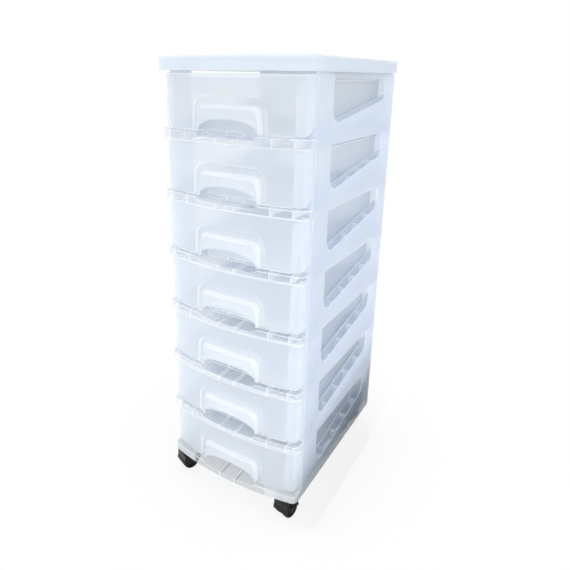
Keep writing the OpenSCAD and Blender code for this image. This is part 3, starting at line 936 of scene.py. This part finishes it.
# %% Castor wheel
WHEEL_R, WHEEL_W, BORE_R, BORE_END = 0.0175, 0.011, 0.00255, 0.009
HUB_R, HUB_W, DISH_W, DISH_FROM, DISH_TO, DISH_RIM = 0.007, 0.0105, 0.0082, 0.008, 0.012, 0.013
HALF_SECTION = ((BORE_END, 0), (HUB_W, 0), (HUB_W, HUB_R), (DISH_W, DISH_FROM),
                (DISH_W, DISH_TO), (WHEEL_W, DISH_RIM), (WHEEL_W, WHEEL_R), (0, WHEEL_R),
                (0, BORE_R), (BORE_END, BORE_R))
WHEEL_STEPS = 64


def castor_wheel():
    bm = outlined([(x, 0, r) for x, r in HALF_SECTION])
    tread_out, tread_in, dish = (picked(bm, c) for c in ((6,), (7,), (2, 3, 4, 5)))
    for corners, radius, segments in ((tread_out, 0.0035, 8), (tread_in, 0.001, 3),
                                      (dish, 0.0006, 3)):
        round_corners(bm, corners, radius, segments)
    bmesh.ops.delete(bm, geom=bm.faces[:], context="FACES_ONLY")
    bmesh.ops.delete(bm, geom=level_with(bm.edges, Z, 0), context="EDGES")
    bmesh.ops.spin(bm, geom=bm.verts[:] + bm.edges[:], cent=(0, 0, 0), axis=ALONG_X,
                   angle=2 * pi, steps=WHEEL_STEPS, use_merge=True)
    bmesh.ops.remove_doubles(bm, verts=bm.verts, dist=SAME)
    bmesh.ops.recalc_face_normals(bm, faces=bm.faces[:])
    return bm


wheel = castor_wheel()
print("wheel faces", len(wheel.faces), "open edges", sum(not e.is_manifold for e in wheel.edges))

# %% [markdown]
# The four castors are alike. Each is set at its stem and turned to where it rests: the front
# ones trail forwards and a little to the left, and the rear ones inwards, behind the side
# walls. The hood rides on the body that swivels and each wheel on the body that spins. The
# stems and axles are plain turned pins, mostly hidden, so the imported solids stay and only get
# their steel.

# %% The four castors
WHEEL_OUT, STEM_SIDE, FRONT_STEM, REAR_STEM = 0.0054, 0.124, -0.1565, 0.1755
CORNERS = (("front_left", -STEM_SIDE, FRONT_STEM, -22),
           ("front_right", STEM_SIDE, FRONT_STEM, -12),
           ("rear_left", -STEM_SIDE, REAR_STEM, 90),
           ("rear_right", STEM_SIDE, REAR_STEM, -90))


def show_at(name, shape, place):
    bm = shape.copy()
    bmesh.ops.transform(bm, matrix=place, verts=bm.verts)
    return show(name, bm)


for corner, x, y, rest in CORNERS:
    place = Matrix.Translation((x, y, 0)) @ Matrix.Rotation(radians(rest), 4, "Z")
    dress(show_at(f"{corner}_castor_hood", hood, place), f"{corner}_hood",
          f"{corner}_castor", hood_black)
    for number, turn in ((1, pi), (2, 0)):
        spot = (place @ ON_AXLE @ Matrix.Rotation(turn, 4, "Z")
                @ Matrix.Translation((WHEEL_OUT, 0, 0)))
        dress(show_at(f"{corner}_castor_wheel_{number}", wheel, spot),
              f"{corner}_wheel_{number}", f"{corner}_wheel_{number}_body",
              wheel_black)
    for part in ("stem", "axle"):
        nodes[f"{corner}_{part}"].data.materials.clear()
        nodes[f"{corner}_{part}"].data.materials.append(steel)

# %% [markdown]
# The floor is a large white sheet. The lens sees it as pure white away from the tower, so that
# it has no horizon, and close to the tower it keeps part of its own shading, which is where
# the tower's soft shadow falls.

# %% Floor
FLOOR_HALF, SHADED_TO, WHITE_FROM, LEAST_WHITE = 6, 0.2, 0.55, 0.85


def flat_sheet(name, half, place, mat):
    bm = bmesh.new()
    bmesh.ops.create_grid(bm, x_segments=1, y_segments=1, size=half, matrix=place)
    mesh = bpy.data.meshes.new(name)
    bm.to_mesh(mesh)
    bm.free()
    sheet = bpy.data.objects.new(name, mesh)
    bpy.context.collection.objects.link(sheet)
    mesh.materials.append(mat)
    return sheet


floor_white, n, l, shader, place = finish("white floor")
shader.inputs["Base Color"].default_value = (0.92, 0.92, 0.92, 1)
shader.inputs["Roughness"].default_value = 0.6
distance = n.new("ShaderNodeVectorMath")
distance.operation = "LENGTH"
l.new(place, distance.inputs[0])
away = n.new("ShaderNodeMapRange")
away.interpolation_type = "SMOOTHSTEP"
away.inputs["From Min"].default_value = SHADED_TO
away.inputs["From Max"].default_value = WHITE_FROM
away.inputs["To Min"].default_value = LEAST_WHITE
l.new(distance.outputs["Value"], away.inputs["Value"])
lens = n.new("ShaderNodeLightPath").outputs["Is Camera Ray"]
share = combined(n, l, "MULTIPLY", lens, away.outputs["Result"])
pure_white = n.new("ShaderNodeEmission").outputs[0]
l.new(blended(n, l, share, shader.outputs[0], pure_white), n["Material Output"].inputs["Surface"])
floor = flat_sheet("floor", FLOOR_HALF, Matrix(), floor_white)
print("floor ready")

# %% [markdown]
# Clear plastic takes its depth from something dark nearby. A near-black card stands low beside
# the right side wall and rises towards the back, so the wall's lower rear corner deepens
# softly. Black painted on the wall would look dark in every light, and a card is what a studio
# uses. The lens doesn't see it.

# %% Dark card
CARD_AT, CARD_RISE, CARD_SIZE = (0.185, 0.11, 0.07), radians(12), (0.14, 0.6, 1, 1)
card_black, n, l, shader, place = finish("matt black card")
shader.inputs["Base Color"].default_value = (0.02, 0.02, 0.02, 1)
shader.inputs["Roughness"].default_value = 0.9
card_place = (Matrix.Translation(CARD_AT) @ Matrix.Rotation(CARD_RISE, 4, "X")
              @ Matrix.Rotation(pi / 2, 4, "Y") @ Matrix.Diagonal(CARD_SIZE))
card = flat_sheet("dark_card", 0.5, card_place, card_black)
card.visible_camera = False
print("card ready")
